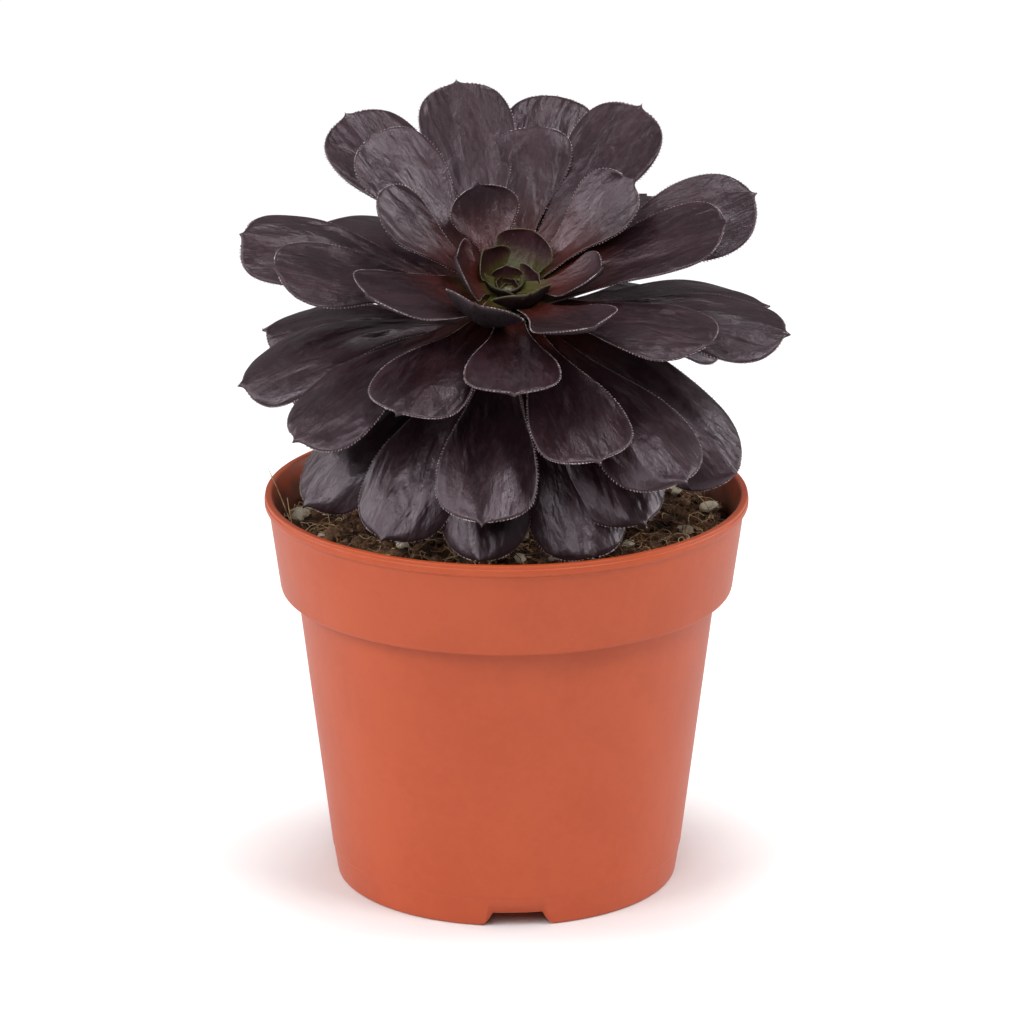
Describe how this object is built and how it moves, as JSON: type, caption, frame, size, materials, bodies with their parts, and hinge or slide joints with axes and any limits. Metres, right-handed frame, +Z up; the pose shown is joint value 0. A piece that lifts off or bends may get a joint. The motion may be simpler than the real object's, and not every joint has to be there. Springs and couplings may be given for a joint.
{
  "type": "potted aeonium",
  "caption": "Dark spoon-leaved succulent rosette on a short woody stem, leaning to the front, in a tapered round nursery pot filled with peat mix.",
  "frame": {"origin": "on the ground, under the middle of the whole plant in its pot", "axes": "+Z up; -Y is the front, towards which the rosette leans; +X is to the right seen from the front"},
  "size_m": [0.1354, 0.1292, 0.1936],
  "materials": {
    "pot_plastic": "satin terracotta-coloured moulded plastic with a fine grain and a glossier lip",
    "peat_mix": "damp dark peat with coir fibres and pale mineral grains",
    "stem_bark": "dry grey-brown bark with ring-shaped leaf scars",
    "dark_leaf": "waxy plum-black skin with a satin sheen and a pale fringed edge",
    "heart_leaf": "waxy green skin that turns red and plum towards the tips"
  },
  "bodies": {
    "root": {"pot": "pot_plastic", "soil": "peat_mix", "stem": "stem_bark", "rosette": "dark_leaf", "heart": "heart_leaf"}
  },
  "joints": []
}
